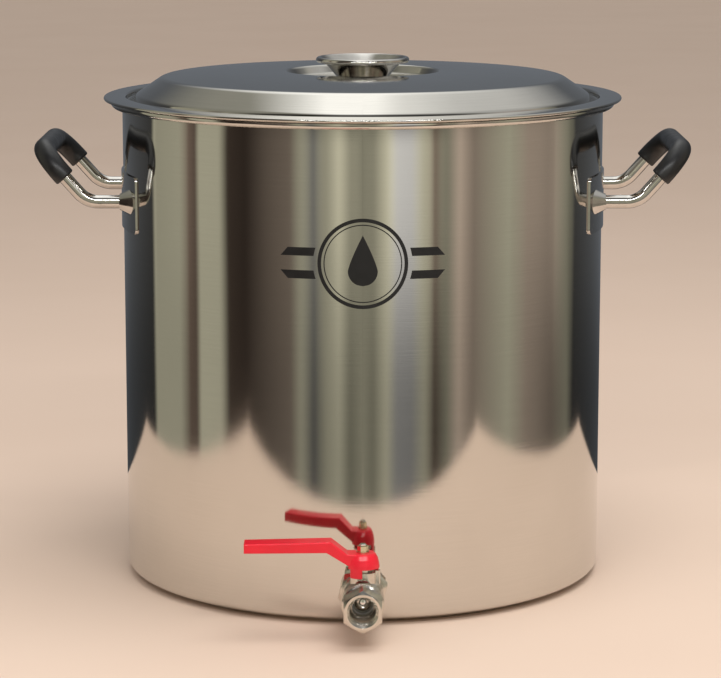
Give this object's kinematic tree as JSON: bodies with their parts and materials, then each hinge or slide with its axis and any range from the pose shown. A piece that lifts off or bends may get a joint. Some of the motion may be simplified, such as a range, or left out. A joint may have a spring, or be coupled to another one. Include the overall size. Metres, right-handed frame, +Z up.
{
  "type": "brew kettle",
  "caption": "Lidded stainless brewing kettle with a clad base, bent-rod side handles in black sleeves and a lever ball valve low on the front.",
  "frame": {"origin": "centre of the underside of the base, on the surface that it stands on", "axes": "+Z up along the kettle's axis, -Y towards the valve's outlet, +X towards the right-hand handle seen from the valve"},
  "size_m": [0.5134, 0.4665, 0.4116],
  "materials": {
    "stainless_satin": "fine circumferential hairline brushing over a near-mirror sheet",
    "stainless_polished": "polished stainless, faint drawing lines",
    "aluminium_core": "rolled, matte",
    "grip_rubber": "smooth moulded, soft gloss",
    "silicone": "translucent white silicone, matte",
    "nickel_plated": "nickel plate over a cast and turned surface",
    "polished_ball": "mirror polished",
    "ptfe": "machined, waxy",
    "red_enamel": "glossy dipped enamel with slightly rounded, thin edges",
    "zinc_plated": "zinc plate with a yellowish passivation",
    "printed_ink": "screen-printed ink, satin"
  },
  "bodies": {
    "kettle": {"shell_floor": "stainless_satin", "shell_wall": "stainless_satin", "shell_rim": "stainless_satin", "base_cap": "stainless_satin", "base_core": "aluminium_core", "left_handle_bracket": "stainless_polished", "left_handle_rod": "stainless_polished", "left_grip_sleeve": "grip_rubber", "right_handle_bracket": "stainless_polished", "right_handle_rod": "stainless_polished", "right_grip_sleeve": "grip_rubber", "bulkhead_fitting": "nickel_plated", "outer_gasket": "silicone", "outer_washer": "nickel_plated", "inner_gasket": "silicone", "inner_washer": "nickel_plated", "inner_locknut": "nickel_plated", "valve_body": "nickel_plated", "valve_end_cap": "nickel_plated", "end_cap_seal": "ptfe", "ball_seat_inner": "ptfe", "ball_seat_outer": "ptfe", "stem_thrust_washer": "ptfe", "stem_packing": "ptfe", "packing_nut": "nickel_plated"},
    "cover": {"lid": "stainless_satin", "lid_knob": "stainless_polished"},
    "valve_handle": {"valve_lever": "red_enamel", "lever_washer": "zinc_plated", "lever_nut": "zinc_plated", "valve_stem": "polished_ball", "valve_ball": "polished_ball"}
  },
  "joints": [
    {"name": "lid_lift", "type": "slide", "parent": "kettle", "child": "cover", "axis": [0, 0, 1], "range_m": [0, 0.15]},
    {"name": "valve_turn", "type": "hinge", "parent": "kettle", "child": "valve_handle", "pos_m": [0, -0.226, 0.0303], "axis": [0, 0, 1], "range_deg": [0, 90]}
  ]
}
